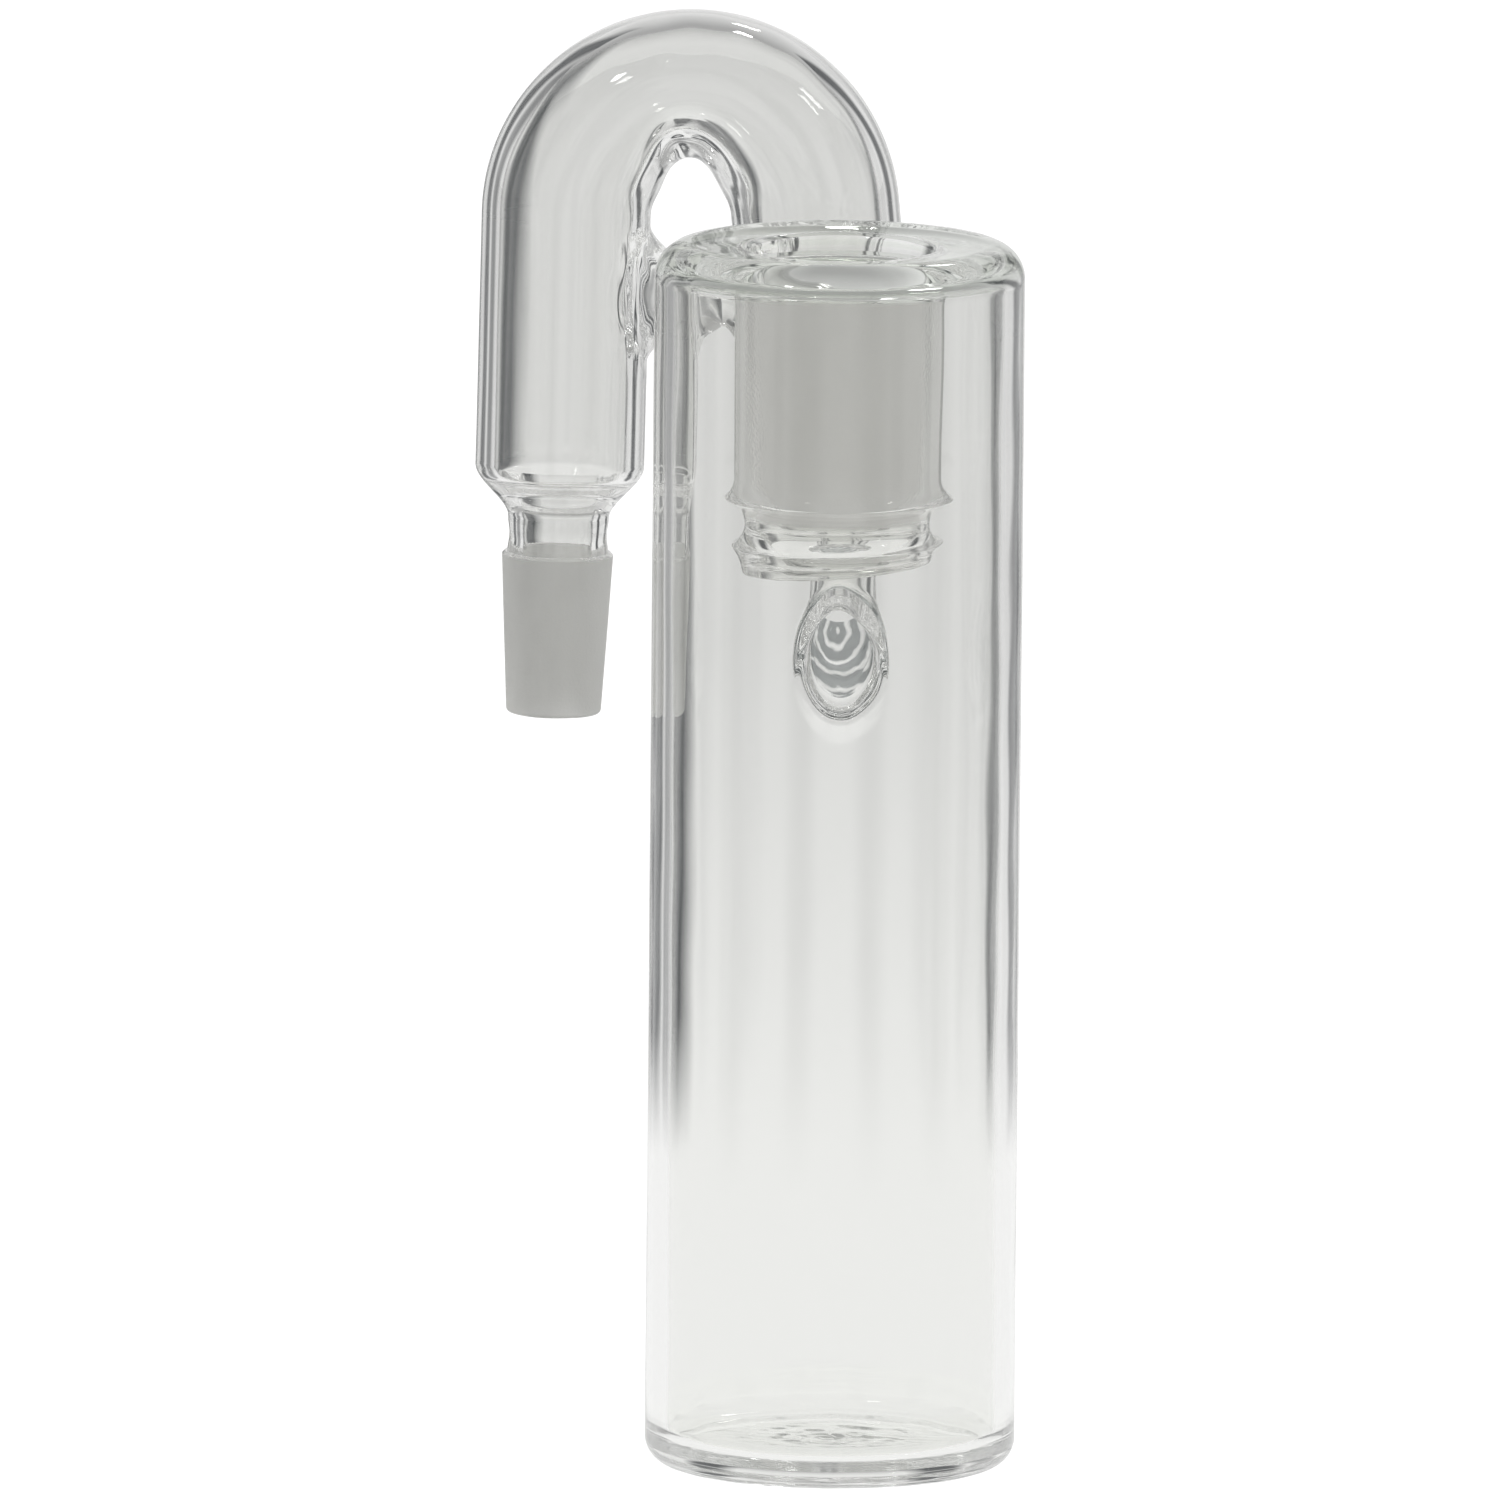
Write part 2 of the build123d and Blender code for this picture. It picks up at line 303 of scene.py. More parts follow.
def to_world(frame_, points):
    """Points in the frame's coordinates, in the world's."""
    origin, axes = frame_
    return origin + np.asarray(points) @ axes


def to_local(frame_, points):
    """Points in the world's coordinates, in the frame's."""
    origin, axes = frame_
    return (np.asarray(points) - origin) @ axes.T


def line(a, b, steps):
    """Points from a to b, the last one left out."""
    t = np.arange(steps)[:, None] / steps
    return np.asarray(a, float) * (1 - t) + np.asarray(b, float) * t


def arc(a, b, start, steps):
    """Points on the arc that leaves a along start and ends at b, the last one left out."""
    a, b, start = np.asarray(a, float), np.asarray(b, float), unit(start)
    chord = b - a
    half = atan2(chord[1], chord[0]) - atan2(start[1], start[0])
    turn = 2 * ((half + pi) % TAU - pi)
    if abs(turn) < 1e-6:
        return line(a, b, steps)
    radius = np.hypot(*chord) / 2 / sin(turn / 2)
    centre = a + radius * np.array([-start[1], start[0]])
    spoke = a - centre
    out = []
    for i in range(steps):
        w = turn * i / steps
        out.append(centre + np.array([spoke[0] * cos(w) - spoke[1] * sin(w),
                                      spoke[0] * sin(w) + spoke[1] * cos(w)]))
    return np.array(out)


def ogee(a, b, steps):
    """An S from a to b, both ends along the axis, the last point left out."""
    t = np.arange(steps)[:, None] / steps
    s = t * t * (3 - 2 * t)
    out = np.empty((steps, 2))
    out[:, 0] = a[0] + (b[0] - a[0]) * s[:, 0]
    out[:, 1] = a[1] + (b[1] - a[1]) * t[:, 0]
    return out


def hermite(p0, p1, t0, t1, steps):
    """Rows from p0 to p1 with end tangents t0 and t1: an array of (steps + 1, points, 3)."""
    t = np.linspace(0, 1, steps + 1)[:, None, None]
    return ((2 * t ** 3 - 3 * t ** 2 + 1) * p0 + (t ** 3 - 2 * t ** 2 + t) * t0
            + (3 * t ** 2 - 2 * t ** 3) * p1 + (t ** 3 - t ** 2) * t1)


# ---------------------------------------------------------------- the glass's own unevenness

def wobble(points, skin):
    """How far hand-drawn glass strays from true, in millimetres. skin is 0 outside, 1 inside."""
    x, y, z = points[..., 0], points[..., 1], points[..., 2]
    p = 1.7 * skin
    a = np.sin(0.31 * x + 0.23 * y + 0.045 * z + p) * np.sin(0.27 * y - 0.05 * z + 2 * p)
    b = np.sin(0.83 * x - 0.61 * y + 0.021 * z + 1.3 + p)
    c = np.sin(0.47 * y + 0.72 * x - 0.11 * z + 0.4 - p) * np.sin(0.19 * z + 0.3 * x + p)
    return 0.016 * a + 0.008 * b + 0.012 * c


def ripple(points, skin, centre, reach, size, waves):
    """Extra unevenness round a seal that was worked in the flame: waves is cycles per mm."""
    offset = points - np.asarray(centre)
    fade = np.exp(-(np.linalg.norm(offset, axis=-1) / reach) ** 2)
    x, y, z = (offset * np.asarray(waves) * TAU)[..., 0:3].transpose(-1, *range(offset.ndim - 1))
    s = 0.9 * skin
    wave = (np.sin(x + y + 0.6 * z + s) * np.cos(0.55 * z - 0.7 * y + 0.7 + s)
            + 0.5 * np.sin(0.6 * x + 1.7 * y - 1.1 * z + 2.1 - s))
    return size * fade * wave


# each spot's centre, reach, size and waves, filled in once the places are known
FLAME_SPOTS = []


def uneven(points, skin):
    """The wobble and every flame spot's ripple together."""
    d = wobble(points, skin)
    for centre, reach, size, waves in FLAME_SPOTS:
        d = d + ripple(points, skin, centre, reach, size, waves)
    return d


def grid_normals(points):
    """Unit normals of a grid of points that closes round each row, by differences."""
    along = np.gradient(points, axis=0)
    across = np.roll(points, -1, axis=1) - np.roll(points, 1, axis=1)
    n = np.cross(across, along)
    size = np.linalg.norm(n, axis=-1, keepdims=True)
    return n / np.where(size < 1e-12, 1, size)


def strayed(points, skin):
    """The grid moved along its normals by the glass's unevenness."""
    return points + grid_normals(points) * uneven(points, skin)[..., None]


# ---------------------------------------------------------------- meshes

class Piece:
    """Collects grids of points and joins them into one closed mesh."""

    def __init__(self, name, slot="clear_glass", glass=None, ground=None):
        self.name, self.slot = name, slot
        self.materials = (glass or MATERIALS[0], MATERIALS[1], ground or MATERIALS[2])
        self.points, self.faces, self.kinds = [], [], []
        self.count = 0

    def quads(self, rows):
        """Adds a closed grid's points. Returns the corners of its faces, row by row."""
        m, n = rows.shape[:2]
        index = self.count + np.arange(m * n).reshape(m, n)
        self.points.append(rows.reshape(-1, 3))
        self.count += m * n
        index = np.concatenate([index, index[:, :1]], axis=1)
        return np.stack([index[:-1, :-1], index[:-1, 1:], index[1:, 1:], index[1:, :-1]], -1)

    def grid(self, rows, kind=CLEAR, kinds=None):
        """A grid closed round each row. kinds gives each row of faces its own slot."""
        quads = self.quads(np.asarray(rows, float))
        self.faces.extend(quads.reshape(-1, 4).tolist())
        height, width = quads.shape[:2]
        for k in kinds or [kind] * height:
            self.kinds.extend([k] * width)

    def strip(self, ring_a, ring_b, kind=SEAL):
        self.grid(np.stack([ring_a, ring_b]), kind)

    def window(self, rows, first, last, left, right, kind=CLEAR):
        """A closed grid with the faces between those rows and columns left out."""
        quads = self.quads(rows)
        keep = np.ones(quads.shape[:2], bool)
        keep[first:last, left:right] = False
        quads = quads[keep]
        self.faces.extend(quads.tolist())
        self.kinds.extend([kind] * len(quads))

    def make(self):
        bm = bmesh.new()
        points = np.concatenate(self.points) * MM
        verts = [bm.verts.new(p) for p in points.tolist()]
        bm.verts.ensure_lookup_table()
        for face, kind in zip(self.faces, self.kinds):
            f = bm.faces.new([verts[i] for i in face])
            f.material_index = kind
            f.smooth = True
        bmesh.ops.remove_doubles(bm, verts=bm.verts, dist=MERGE)
        bmesh.ops.recalc_face_normals(bm, faces=bm.faces)
        open_edges = 0
        for e in bm.edges:
            if len(e.link_faces) != 2:
                open_edges += 1
                continue
            a, b = e.link_faces
            if a.material_index != b.material_index or a.normal.angle(b.normal, 0) > CREASE:
                e.smooth = False
        if bm.calc_volume(signed=True) < 0:
            bmesh.ops.reverse_faces(bm, faces=bm.faces)
        mesh = bpy.data.meshes.new(self.name)
        bm.to_mesh(mesh)
        bm.free()
        for mat in self.materials:
            mesh.materials.append(mat)
        obj = bpy.data.objects.new("glass_" + self.name, mesh)
        bpy.context.scene.collection.objects.link(obj)
        obj.visible_shadow = False
        obj.visible_diffuse = False
        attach(obj, "root")
        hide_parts(self.name)
        print("piece", self.name, len(mesh.polygons), "open edges", open_edges)
        return obj


def turned(frame_, profile, n, skin):
    """Rows of points from a profile of (radius, height) turned about the frame's axis."""
    profile = np.asarray(profile)
    w = np.arange(n) / n * TAU
    local = np.empty((len(profile), n, 3))
    local[..., 0] = profile[:, 0, None] * np.cos(w)
    local[..., 1] = profile[:, 0, None] * np.sin(w)
    local[..., 2] = profile[:, 1, None]
    return strayed(to_world(frame_, local), skin)


def softened(profile, radius, spacing=0.12):
    """A profile resampled evenly, its corners rounded off as fire-polished glass has them."""
    profile = np.asarray(profile, float)
    steps = np.hypot(*np.diff(profile, axis=0).T)
    run = np.concatenate([[0], np.cumsum(steps)])
    count = max(int(run[-1] / spacing), 4)
    at = np.linspace(0, run[-1], count + 1)
    even = np.stack([np.interp(at, run, profile[:, k]) for k in (0, 1)], axis=1)
    reach = max(int(radius / (run[-1] / count)), 1)
    ends = even[0], even[-1]
    padded = np.concatenate([2 * ends[0] - even[reach:0:-1], even,
                             2 * ends[1] - even[-2:-reach - 2:-1]])
    weight = np.hanning(2 * reach + 3)[1:-1]
    weight /= weight.sum()
    out = np.stack([np.convolve(padded[:, k], weight, "valid") for k in (0, 1)], axis=1)
    out[0], out[-1] = ends
    return out


def upright_line(radius, low, high, step):
    """A straight profile from low to high, in steps of about that size."""
    count = max(int(round((high - low) / step)), 1)
    return np.stack([np.full(count + 1, radius), np.linspace(low, high, count + 1)], axis=1)


def down(profile):
    """The profile run the other way."""
    return np.asarray(profile)[::-1]


# ---------------------------------------------------------------- where things are

TAKEOFF_ROOT = np.array([TAKEOFF_X, sqrt(BODY_R ** 2 - TAKEOFF_X ** 2), TAKEOFF_Z])
TAKEOFF_DIR = np.array([0, sin(TAKEOFF_SLANT), cos(TAKEOFF_SLANT)])
ELBOW = np.array([TAKEOFF_X, ARM_Y,
                  TAKEOFF_Z + (ARM_Y - TAKEOFF_ROOT[1]) / tan(TAKEOFF_SLANT)])
ACROSS, DROP = ELBOW[0] - BEND_X, BEND_Z - ELBOW[2]
LEAN = np.arccos(BEND_R / hypot(ACROSS, DROP)) - atan2(DROP, ACROSS)
RISER_DIR = np.array([-sin(LEAN), 0, cos(LEAN)])
ELBOW_TURN = np.arccos(np.dot(TAKEOFF_DIR, RISER_DIR))
RISER_START = ELBOW + RISER_DIR * (ELBOW_R * tan(ELBOW_TURN / 2) + ELBOW_STUB)
LEG_START = RISER_START + RISER_DIR * RISER_SHOULDER
DROP_UP = np.array([sin(DROP_LEAN), 0, cos(DROP_LEAN)])


def bend_point(angle, radius):
    return np.array([BEND_X + radius * cos(angle), ARM_Y, BEND_Z + radius * sin(angle)])


BEND_RIGHT = bend_point(LEAN, BEND_R)
BEND_LEFT = bend_point(pi - DROP_LEAN, BEND_R)
RISER_LENGTH = np.linalg.norm(BEND_RIGHT - LEG_START)
DROP_FOOT = BEND_LEFT - DROP_UP * DROP_LENGTH
NECK_TOP = DROP_FOOT - DROP_UP * DROP_SHOULDER
CONE_TOP = NECK_TOP - DROP_UP * NECK_LENGTH
CONE_END = CONE_TOP - DROP_UP * CONE_LENGTH

RISER = place(LEG_START, RISER_DIR)
RISER_FOOT = place(RISER_START, RISER_DIR)
DROP_FRAME = place(DROP_FOOT, DROP_UP)
SHOULDER_FRAME = place(NECK_TOP, DROP_UP)
NECK_FRAME = place(CONE_TOP, DROP_UP)
CONE_FRAME = place(CONE_END, DROP_UP)
BRIDGE_X = ((BEND_LEFT + DROP_UP * (BRIDGE_Z - BEND_LEFT[2]) / DROP_UP[2])[0],
            (LEG_START + RISER_DIR * (BRIDGE_Z - LEG_START[2]) / RISER_DIR[2])[0])

FLAME_SPOTS.extend([
    (TAKEOFF_ROOT + TAKEOFF_DIR * 2, 6.0, 0.03, (0.2, 0.2, 0.25)),
    ((BRIDGE_X[0] + 10.5, ARM_Y, BRIDGE_Z), 8.5, 0.055, (0.1, 0.36, 0.07)),
    ((BRIDGE_X[1] - 10.5, ARM_Y, BRIDGE_Z), 8.5, 0.055, (0.1, 0.36, 0.07)),
    ((BEND_X, ARM_Y, BEND_Z + 6.0), 7.0, 0.06, (0.11, 0.08, 0.12)),
])


def onto_tube(frame_, radius, centre, d, u, v, spread, turn):
    """A loop of that spread round the line through centre, carried along it onto a tube."""
    ring = (np.asarray(centre) + spread * np.cos(turn)[:, None] * u
            + spread * np.sin(turn)[:, None] * v)
    p = to_local(frame_, ring)
    w = np.asarray(d) @ frame_[1].T
    a = w[0] ** 2 + w[1] ** 2
    b = p[:, 0] * w[0] + p[:, 1] * w[1]
    c = p[:, 0] ** 2 + p[:, 1] ** 2 - radius ** 2
    t = (-b + np.sqrt(np.maximum(b * b - a * c, 0))) / a
    return ring + t[:, None] * np.asarray(d)


def skin_points(frame_, points, skin):
    """Points on a tube moved off it by the glass's unevenness."""
    local = to_local(frame_, points)
    outward = local.copy()
    outward[:, 2] = 0
    outward /= np.linalg.norm(outward, axis=1, keepdims=True)
    sign = -1 if skin else 1
    return points + sign * (outward @ frame_[1]) * uneven(points, skin)[:, None]


class TubeWindow:
    """A tube's skin with a window in it, filled in to a loop where another tube is welded on."""

    def __init__(self, piece, frame_, radius, heights, n, skin, facing, middle, half):
        self.piece, self.frame, self.radius, self.skin = piece, frame_, radius, skin
        w = facing - pi + np.arange(n) / n * TAU
        local = np.empty((len(heights), n, 3))
        local[..., 0] = radius * np.cos(w)
        local[..., 1] = radius * np.sin(w)
        local[..., 2] = np.asarray(heights)[:, None]
        self.rows = strayed(to_world(frame_, local), skin)
        if skin:
            self.rows = 2 * to_world(frame_, local) - self.rows
        centre = int(np.argmin(np.abs(np.asarray(heights) - middle)))
        left, right = n // 2 - half[0], n // 2 + half[0]
        first, last = centre - half[1], centre + half[1]
        piece.window(self.rows, first, last, left, right)
        path = ([(first, c) for c in range(left, right)] + [(r, right) for r in range(first, last)]
                + [(last, c) for c in range(right, left, -1)]
                + [(r, left) for r in range(last, first, -1)])
        rows_at = np.array([p[0] for p in path])
        cols_at = np.array([p[1] for p in path])
        self.angle = w[cols_at]
        self.height = np.asarray(heights)[rows_at]
        self.edge = self.rows[rows_at, cols_at]

    def turns(self, facing, middle, squeeze=1.0):
        """Each edge point's direction from the window's middle, for a loop to match it."""
        return np.arctan2((self.height - middle) * squeeze, (self.angle - facing) * self.radius)

    def fill(self, loop, steps):
        """Rings from the window's edge in to the loop. Returns the last ring."""
        local = to_local(self.frame, loop)
        angle = np.arctan2(local[:, 1], local[:, 0])
        angle = self.angle + (angle - self.angle + pi) % TAU - pi
        t = np.linspace(0, 1, steps + 1)[:, None]
        a = self.angle * (1 - t) + angle * t
        h = self.height * (1 - t) + local[:, 2] * t
        rings = np.stack([self.radius * np.cos(a), self.radius * np.sin(a), h], axis=-1)
        flat = to_world(self.frame, rings).reshape(-1, 3)
        moved = skin_points(self.frame, flat, self.skin).reshape(rings.shape)
        moved[0] = self.edge
        self.piece.grid(moved)
        return moved[-1]


# ---------------------------------------------------------------- the cylinder

def join(*parts):
    """Profiles and single points, one after another."""
    return np.concatenate([np.atleast_2d(p) for p in parts])


def with_pole(rows, first=False, last=False):
    """The rows with their first or last drawn together to one point."""
    if first:
        rows[0] = rows[1].mean(axis=0)
    if last:
        rows[-1] = rows[-2].mean(axis=0)
    return rows


def base_swirl(rows, sign, phase):
    """The swirl that pressing and turning left in the middle of the base, and its pontil mark."""
    x, y = rows[..., 0] - SWIRL_X, rows[..., 1] - SWIRL_Y
    r = np.hypot(x, y)
    a = np.arctan2(y, x)
    fade = np.clip(1 - r / SWIRL_R, 0, 1) ** 1.2
    wave = (np.sin(2 * a + 1.15 * r + phase) + 0.6 * np.sin(3 * a - 1.9 * r + 1.1 + phase)
            + 0.35 * np.sin(0.9 * x + 2.6 * y + phase))
    start = np.clip(r / 2.0, 0, 1)
    mark = PONTIL_DEPTH * np.exp(-(r / PONTIL_R) ** 2)
    rows[..., 2] += sign * (SWIRL_DEPTH * fade * start * wave - mark)
    return rows


def flat_base():
    piece = Piece("flat_base", glass=BASE_GLASS)
    spokes = np.stack([np.concatenate([[0], np.geomspace(0.25, BODY_R - BASE_CORNER, 60)]),
                       np.zeros(61)], axis=1)
    outside = join(spokes[:-1],
                   arc((BODY_R - BASE_CORNER, 0), (BODY_R, BASE_CORNER), (1, 0), 18),
                   line((BODY_R, BASE_CORNER), (BODY_R, BASE_TOP), 6), (BODY_R, BASE_TOP))
    floor_edge = BODY_BORE - BASE_IN_CORNER
    inner = np.stack([np.concatenate([np.geomspace(floor_edge, 0.25, 60), [0]]),
                      np.full(61, BASE_THICK)], axis=1)
    inside = join(line((BODY_BORE, BASE_TOP), (BODY_BORE, BASE_THICK + BASE_IN_CORNER), 5),
                  arc((BODY_BORE, BASE_THICK + BASE_IN_CORNER), (floor_edge, BASE_THICK),
                      (0, -1), 16), inner)
    under = base_swirl(turned(WORLD, outside, BODY_N, 0), 0.5, 0.0)
    under[..., 2] = np.maximum(under[..., 2], 0)
    low = with_pole(under, first=True)
    high = turned(WORLD, inside, BODY_N, 1)
    flat = np.hypot(high[..., 0], high[..., 1]) < floor_edge + 1
    swirled = base_swirl(high.copy(), 1.0, 1.3)
    high = np.where(flat[..., None], swirled, high)
    high = with_pole(high, last=True)
    piece.grid(low)
    piece.strip(low[-1], high[0])
    piece.grid(high)
    piece.make()


def body_tube():
    piece = Piece("body_tube")
    heights = np.linspace(BASE_TOP, TOP_SEAM, 113)
    half = (21, 12)
    out = TubeWindow(piece, WORLD, BODY_R, heights, BODY_N, 0, pi / 2, TAKEOFF_Z, half)
    turn = out.turns(pi / 2, TAKEOFF_Z, sin(TAKEOFF_SLANT))
    foot = out.fill(takeoff_loop(BODY_R, WELD_FOOT, turn), 10)
    inner_z = TAKEOFF_Z - (BODY_R - BODY_BORE) / tan(TAKEOFF_SLANT)
    inn = TubeWindow(piece, WORLD, BODY_BORE, heights, BODY_N, 1, pi / 2, inner_z, half)
    turn = inn.turns(pi / 2, inner_z, sin(TAKEOFF_SLANT))
    ring = inn.fill(takeoff_loop(BODY_BORE, WELD_BORE + HOLE_ROUND, turn), 10)
    throat = takeoff_loop(BODY_R, WELD_BORE, turn)
    inward = takeoff_loop(BODY_BORE, 0.0, turn) - ring
    inward /= np.linalg.norm(inward, axis=1, keepdims=True)
    square = np.tile(np.array([0, 1.0, 0]), (len(turn), 1))
    wall = hermite(ring, throat, inward * 3.4, square * 3.2, 20)
    piece.grid(wall)
    piece.strip(wall[-1], foot)
    piece.strip(out.rows[0], inn.rows[0])
    piece.strip(out.rows[-1], inn.rows[-1])
    piece.make()


def top_shoulder():
    """The rounded top. Its rim is the thickest glass; its surfaces there take a darker, greener
    tint, the green being the thick glass's own colour and the darkening painted shade at the rim's
    corners.
    """
    piece = Piece("top_shoulder", ground=RIM_TINT_AND_SHADE_GLASS)
    flat_edge = BODY_R - TOP_CORNER
    under = BODY_TOP - TOP_THICK - TOP_DIP
    outside = join(line((BODY_R, TOP_SEAM), (BODY_R, BODY_TOP - TOP_CORNER), 10),
                   arc((BODY_R, BODY_TOP - TOP_CORNER), (flat_edge, BODY_TOP), (0, 1), 40),
                   line((flat_edge, BODY_TOP), (SOCKET_R, MOUTH), 8), (SOCKET_R, MOUTH))
    inner_corner = BODY_BORE - TOP_IN_CORNER
    inside = join(arc((SOCKET_R, under - TOP_FILLET), (SOCKET_R + TOP_FILLET, under), (0, 1), 14),
                  line((SOCKET_R + TOP_FILLET, under), (inner_corner, under), 8),
                  arc((inner_corner, under), (BODY_BORE, under - TOP_IN_CORNER), (1, 0), 20),
                  line((BODY_BORE, under - TOP_IN_CORNER), (BODY_BORE, TOP_SEAM), 8),
                  (BODY_BORE, TOP_SEAM))
    outside, inside = softened(outside, 0.8), softened(inside, 0.5)
    out = turned(WORLD, outside, BODY_N, 0)
    inn = turned(WORLD, inside, BODY_N, 1)
    # the rim's corners, outside and inside, take the darker tint: painted shade over the glass's
    # own green
    piece.grid(out, kinds=[GROUND if h > BODY_TOP - RIM_DEPTH else CLEAR
                           for h in outside[1:, 1]])
    piece.grid(inn, kinds=[CLEAR if r > inner_corner + RIM_INSET else GROUND
                           for r in inside[1:, 0]])
    piece.strip(out[-1], inn[0])
    piece.strip(inn[-1], out[0])
    piece.make()


def bore_at(height):
    """The socket's bore radius at a height: tapered as far as its grinding goes."""
    depth = min(max(TAPER_TOP - height, 0), TAPER_LENGTH)
    return SOCKET_BORE - TAPER * depth


def ground_socket():
    piece = Piece("ground_socket", "ground_glass")
    seam_top = BODY_TOP - TOP_THICK - TOP_DIP - TOP_FILLET
    out = turned(WORLD, upright_line(SOCKET_R, RING_TOP, seam_top, 0.8), SOCKET_N, 0)
    rim = SOCKET_BORE + SOCKET_LIP
    mouth = softened(join(line((SOCKET_R, MOUTH), (rim, MOUTH), 4),
                          arc((rim, MOUTH), (SOCKET_BORE, MOUTH - SOCKET_LIP), (-1, 0), 14),
                          line((SOCKET_BORE, MOUTH - SOCKET_LIP), (SOCKET_BORE, TAPER_TOP), 8),
                          (SOCKET_BORE, TAPER_TOP)), 0.3)
    taper = line((SOCKET_BORE, TAPER_TOP), (bore_at(RING_TOP), RING_TOP), 36)
    taper = join(taper, (bore_at(RING_TOP), RING_TOP))
    clear = turned(WORLD, mouth, SOCKET_N, 1)
    ground = turned(WORLD, taper, SOCKET_N, 1)
    ground[0] = clear[-1]
    piece.grid(out)
    piece.grid(clear)
    piece.grid(ground, GROUND)
    piece.strip(out[-1], clear[0])
    piece.strip(ground[-1], out[0])
    piece.make()


def socket_ring():
    piece = Piece("socket_ring", "ground_glass")
    edge = (RING_R, RING_TOP - RING_FLARE)
    flare = arc((SOCKET_R, RING_TOP), edge, (0, -1), 24)
    groove = arc((WAIST_R, TAIL_TOP), edge, (0, 1), 30)
    outside = softened(join(groove, edge, down(flare)), 0.2)
    taper_end = TAPER_TOP - TAPER_LENGTH
    frosted = join(line((bore_at(RING_TOP), RING_TOP), (bore_at(taper_end), taper_end), 6),
                   (bore_at(taper_end), taper_end))
    plain = join(line((bore_at(taper_end), taper_end), (bore_at(TAIL_TOP), TAIL_TOP), 4),
                 (bore_at(TAIL_TOP), TAIL_TOP))
    out = turned(WORLD, outside, SOCKET_N, 0)
    ground = turned(WORLD, frosted, SOCKET_N, 1)
    clear = turned(WORLD, plain, SOCKET_N, 1)
    clear[0] = ground[-1]
    piece.grid(out)
    piece.grid(ground, GROUND)
    piece.grid(clear)
    piece.strip(out[-1], ground[0])
    piece.strip(clear[-1], out[0])
    piece.make()


def socket_tail():
    piece = Piece("socket_tail")
    end_z = TAIL_TOP - TAIL_LENGTH
    edge = (TAIL_RING_R, TAIL_TOP - TAIL_RING_DROP)
    bore = bore_at(TAIL_TOP)
    flare = arc((WAIST_R, TAIL_TOP), edge, (0, -1), 20)
    foot = line((TAIL_END_R, end_z), edge, 14)
    foot[:, 0] -= 0.25 * np.sin(np.linspace(0, pi, len(foot)))
    outside = softened(join(line((bore, end_z), (TAIL_END_R, end_z), 6), foot, edge,
                            down(flare)), 0.2)
    inside = join(line((bore, TAIL_TOP), (bore, end_z), 10), (bore, end_z))
    out = turned(WORLD, outside, SOCKET_N, 0)
    inn = turned(WORLD, inside, SOCKET_N, 1)
    for rows in (out, inn):
        share = np.clip((TAIL_TOP - rows[..., 2]) / TAIL_LENGTH, 0, 1) ** 1.3
        rows[..., 2] += share * rows[..., 0] * tan(radians(TAIL_SKEW))
    inn[-1] = out[0]
    piece.grid(out)
    piece.grid(inn)
    piece.strip(out[-1], inn[0])
    piece.make()


# ---------------------------------------------------------------- the take-off

# painted shade: centre, squash, pitch and waviness of the dark rings painted into the pocket's
# glass
SHADE_RINGS_CENTRE = (0.0004, 0.031, 0.1046)
SHADE_RINGS_SQUASH = (1.0, 0.4, 0.8)
SHADE_RING_PITCH = 0.0015
SHADE_RING_STRAY = 13.0


def painted_shade_rings_glass():
    """Clear glass with dark nested rings painted into its colour: painted shade standing in for
    the grey, arc-lined shading seen through the take-off's hole.
    """
    mat, tree, shader = new_material("pocket_painted_shade_rings")
    set_values(shader, Roughness=0.0, IOR=GLASS_IOR, Transmission_Weight=1.0)
    spot = new_node(tree, "ShaderNodeTexCoord")
    apart = new_node(tree, "ShaderNodeVectorMath", (spot.outputs["Object"], SHADE_RINGS_CENTRE),
                     operation="SUBTRACT")
    flat = new_node(tree, "ShaderNodeVectorMath", (apart.outputs[0], SHADE_RINGS_SQUASH),
                    operation="MULTIPLY")
    away = new_node(tree, "ShaderNodeVectorMath", (flat.outputs[0],), operation="LENGTH")
    stray = noise_node(tree, 190.0, 2.0)
    wavy = new_node(tree, "ShaderNodeMath", (stray.outputs[0], SHADE_RING_STRAY),
                    operation="MULTIPLY")
    scaled = new_node(tree, "ShaderNodeMath",
                      (away.outputs["Value"], TAU / SHADE_RING_PITCH, wavy.outputs[0]),
                      operation="MULTIPLY_ADD")
    wave = new_node(tree, "ShaderNodeMath", (scaled.outputs[0],), operation="SINE")
    # painted shade: near-black rings between clear ones
    colour = colour_ramp(tree, wave.outputs[0], (0.25, 1.0), (0.15, 0.165, 0.165),
                         (0.97, 0.98, 0.96))
    tree.links.new(colour, shader.inputs["Base Color"])
    return mat


TAKEOFF_U = np.array([-1.0, 0, 0])
TAKEOFF_V = np.array([0, -cos(TAKEOFF_SLANT), sin(TAKEOFF_SLANT)])


def takeoff_loop(radius, spread, turn):
    """A loop round the take-off's axis, carried onto the cylinder's wall at that radius."""
    return onto_tube(WORLD, radius, TAKEOFF_ROOT, TAKEOFF_DIR, TAKEOFF_U, TAKEOFF_V,
                     spread, turn)


